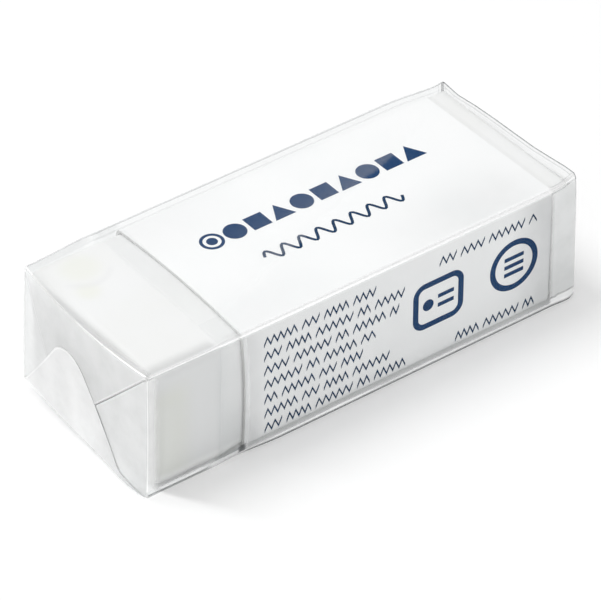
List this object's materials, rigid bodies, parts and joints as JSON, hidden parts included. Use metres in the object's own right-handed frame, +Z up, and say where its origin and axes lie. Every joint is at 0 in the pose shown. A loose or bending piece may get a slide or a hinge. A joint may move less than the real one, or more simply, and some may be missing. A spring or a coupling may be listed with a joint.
{
  "type": "rubber eraser",
  "caption": "White block eraser in a printed card sleeve, overwrapped in clear film with folded ends and a tear tape.",
  "frame": {"origin": "centre of the film's underside, on the surface that the pack stands on", "axes": "+X along the block towards its covered end, +Y across it away from the side with the small print, +Z up through the printed top"},
  "size_m": [0.0474, 0.0194, 0.0132],
  "materials": {
    "eraser": "satin",
    "card": "coated, satin",
    "ink_blue": "printed, satin",
    "ink_navy": "printed, satin",
    "tape": "clear, gloss",
    "film": "clear, gloss"
  },
  "bodies": {
    "root": {"eraser_block": "eraser", "card_sleeve": "card", "print_blue": "ink_blue", "print_navy": "ink_navy", "tear_tape": "tape", "film_wrap": "film"}
  },
  "joints": []
}
